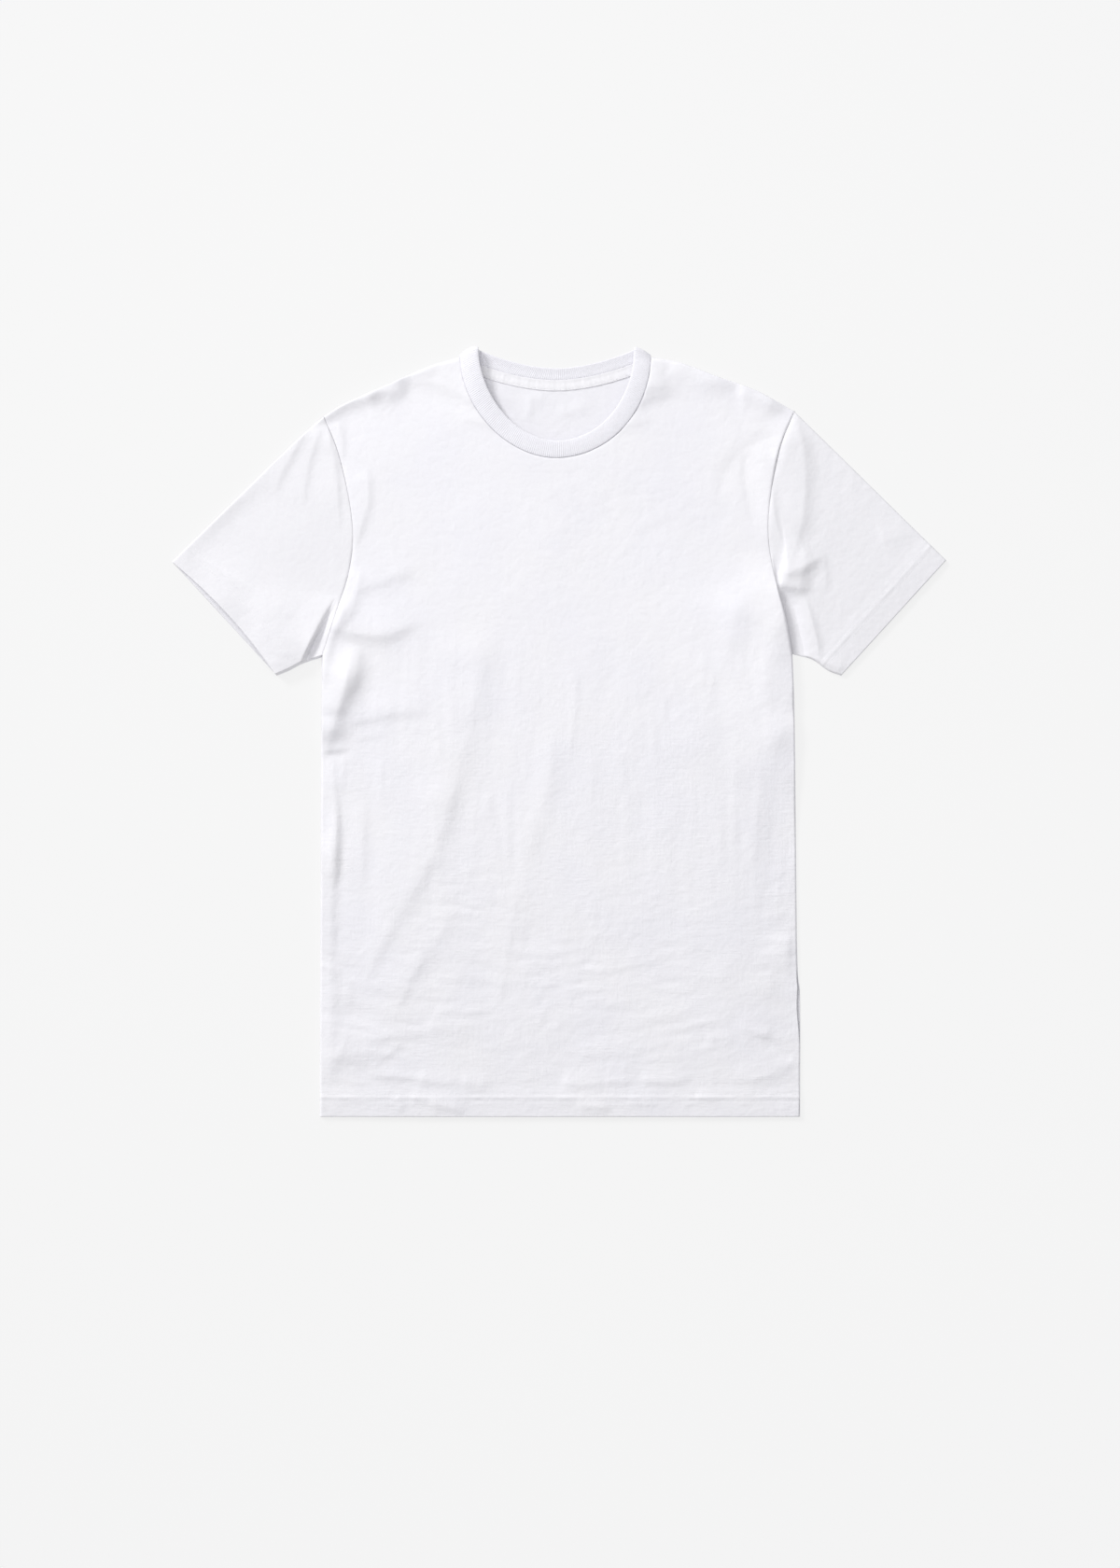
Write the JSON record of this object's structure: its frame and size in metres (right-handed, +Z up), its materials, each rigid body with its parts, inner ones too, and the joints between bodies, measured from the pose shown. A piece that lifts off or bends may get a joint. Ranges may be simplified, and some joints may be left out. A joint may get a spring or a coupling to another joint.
{
  "type": "crew neck t-shirt",
  "caption": "Short-sleeved crew neck T-shirt in plain white jersey, laid flat on its back, with a ribbed collar, a neck tape and stitched hems.",
  "frame": {"origin": "under the middle of the T-shirt's box, on the surface that it lies on", "axes": "+Z up from the surface, +Y from the hem to the neck, +X to the right as one looks down on its front, which is the wearer's left"},
  "size_m": [0.7256, 0.7208, 0.0123],
  "materials": {
    "jersey": "matt single jersey, white",
    "rib": "matt 1x1 rib, white",
    "tape": "matt jersey tape, white"
  },
  "bodies": {
    "root": {"front_panel": "jersey", "back_panel": "jersey", "sleeve_left": "jersey", "sleeve_right": "jersey", "neck_rib": "rib", "neck_tape": "tape"}
  },
  "joints": []
}
